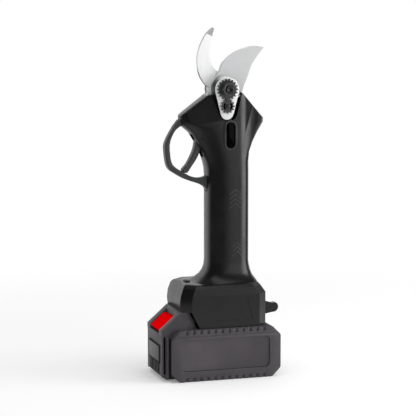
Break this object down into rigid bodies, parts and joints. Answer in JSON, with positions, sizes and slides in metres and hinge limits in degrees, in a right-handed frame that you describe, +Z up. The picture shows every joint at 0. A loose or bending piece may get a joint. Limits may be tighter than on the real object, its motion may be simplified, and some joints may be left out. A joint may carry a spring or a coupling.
{
  "type": "battery electric pruner",
  "caption": "Hand-held battery pruner: bypass blades driven by a geared motor in the grip, trigger inside a guard, on a slide-on battery pack.",
  "frame": {"origin": "on the battery's flat bottom face, under the grip's axis, on the plane between the housing halves", "axes": "+Z up along the grip to the blades, -X to the trigger and the battery's latch, -Y to the side with the lock nut and the display"},
  "size_m": [0.1309, 0.075, 0.347],
  "materials": {
    "housing_black": "satin black moulding",
    "guard_grey": "satin dark grey",
    "trigger_grey": "satin dark grey",
    "screw_steel": "blackened",
    "bezel_black": "semi gloss",
    "display_black": "gloss",
    "frame_aluminium": "cast",
    "polished_steel": "polished",
    "blade_steel": "fine ground",
    "cover_white": "bright satin",
    "dark_steel": "oiled dark steel",
    "bolt_steel": "zinc plated",
    "bronze": "sintered bronze",
    "gear_steel": "machined",
    "motor_can": "plated can",
    "board_green": "circuit board",
    "black_plastic": "satin",
    "battery_charcoal": "fine textured charcoal",
    "gauge_dark": "smooth dark",
    "latch_red": "satin red",
    "cell_wrap": "cell sleeve"
  },
  "bodies": {
    "tool": {"housing_left": "housing_black", "housing_right": "housing_black", "housing_screw_1": "screw_steel", "housing_screw_2": "screw_steel", "housing_screw_3": "screw_steel", "housing_screw_4": "screw_steel", "housing_screw_5": "screw_steel", "housing_screw_6": "screw_steel", "trigger_guard": "guard_grey", "display_bezel": "bezel_black", "display_window": "display_black", "head_frame": "frame_aluminium", "fixed_blade": "polished_steel", "fixed_blade_screw_1": "screw_steel", "fixed_blade_screw_2": "screw_steel", "pivot_bolt": "bolt_steel", "pivot_bush": "bronze", "pinion_bearing": "bolt_steel", "cover_plate": "cover_white", "lock_nut": "dark_steel", "nut_lock": "dark_steel", "nut_lock_screw": "screw_steel", "motor": "motor_can", "ring_gear": "gear_steel", "trigger_pin": "bolt_steel", "controller_board": "board_green", "power_switch": "black_plastic", "foot_terminals": "black_plastic"},
    "blade": {"moving_blade": "blade_steel", "sector_gear": "dark_steel", "drive_pin_1": "bolt_steel", "drive_pin_2": "bolt_steel"},
    "pinion": {"bevel_pinion": "dark_steel", "planet_carrier": "gear_steel"},
    "sun": {"motor_shaft": "bolt_steel"},
    "planet_1": {"planet_gear_1": "gear_steel"},
    "planet_2": {"planet_gear_2": "gear_steel"},
    "planet_3": {"planet_gear_3": "gear_steel"},
    "trigger": {"trigger": "trigger_grey", "trigger_magnet": "bolt_steel"},
    "power_button": {"power_button": "black_plastic"},
    "battery": {"battery_case": "battery_charcoal", "battery_cover": "battery_charcoal", "battery_board": "board_green", "charge_gauge": "gauge_dark", "battery_screw_1": "screw_steel", "battery_screw_2": "screw_steel", "battery_screw_3": "screw_steel", "battery_screw_4": "screw_steel", "cell_1": "cell_wrap", "cell_2": "cell_wrap", "cell_3": "cell_wrap", "cell_4": "cell_wrap", "cell_5": "cell_wrap", "cell_6": "cell_wrap", "cell_7": "cell_wrap", "cell_8": "cell_wrap", "cell_9": "cell_wrap", "cell_10": "cell_wrap"},
    "latch": {"battery_latch": "latch_red"}
  },
  "joints": [
    {"name": "blade_pivot", "type": "hinge", "parent": "tool", "child": "blade", "pos_m": [-0.005, 0, 0.2863], "axis": [0, -1, 0], "range_deg": [0, 52]},
    {"name": "pinion_spin", "type": "hinge", "parent": "tool", "child": "pinion", "pos_m": [-0.005, 0, 0.25], "axis": [0, 0, 1], "range_deg": [0, 260]},
    {"name": "sun_spin", "type": "hinge", "parent": "tool", "child": "sun", "pos_m": [-0.005, 0, 0.225], "axis": [0, 0, 1], "range_deg": [0, 1170]},
    {"name": "planet_1_spin", "type": "hinge", "parent": "pinion", "child": "planet_1", "pos_m": [-0.005, 0.00743, 0.227], "axis": [0, 0, 1], "range_deg": [-728, 0]},
    {"name": "planet_2_spin", "type": "hinge", "parent": "pinion", "child": "planet_2", "pos_m": [-0.01143, -0.00371, 0.227], "axis": [0, 0, 1], "range_deg": [-728, 0]},
    {"name": "planet_3_spin", "type": "hinge", "parent": "pinion", "child": "planet_3", "pos_m": [0.00143, -0.00371, 0.227], "axis": [0, 0, 1], "range_deg": [-728, 0]},
    {"name": "trigger_pull", "type": "hinge", "parent": "tool", "child": "trigger", "pos_m": [-0.0295, 0, 0.237], "axis": [0, -1, 0], "range_deg": [0, 15], "stiffness_Nm_per_rad": 0.05, "springref_deg": -11.46},
    {"name": "button_press", "type": "slide", "parent": "tool", "child": "power_button", "axis": [0, 0, -1], "range_m": [0, 0.001], "stiffness_N_per_m": 600, "springref_m": -0.0005},
    {"name": "battery_slide", "type": "slide", "parent": "tool", "child": "battery", "axis": [-1, 0, 0], "range_m": [0, 0.085]},
    {"name": "latch_press", "type": "slide", "parent": "battery", "child": "latch", "axis": [0, 0, -1], "range_m": [0, 0.0025], "stiffness_N_per_m": 800, "springref_m": -0.001}
  ],
  "couplings": [
    {"joint": "pinion_spin", "follows": "blade_pivot", "ratio": 5},
    {"joint": "sun_spin", "follows": "blade_pivot", "ratio": 22.5},
    {"joint": "planet_1_spin", "follows": "blade_pivot", "ratio": -14},
    {"joint": "planet_2_spin", "follows": "blade_pivot", "ratio": -14},
    {"joint": "planet_3_spin", "follows": "blade_pivot", "ratio": -14}
  ]
}
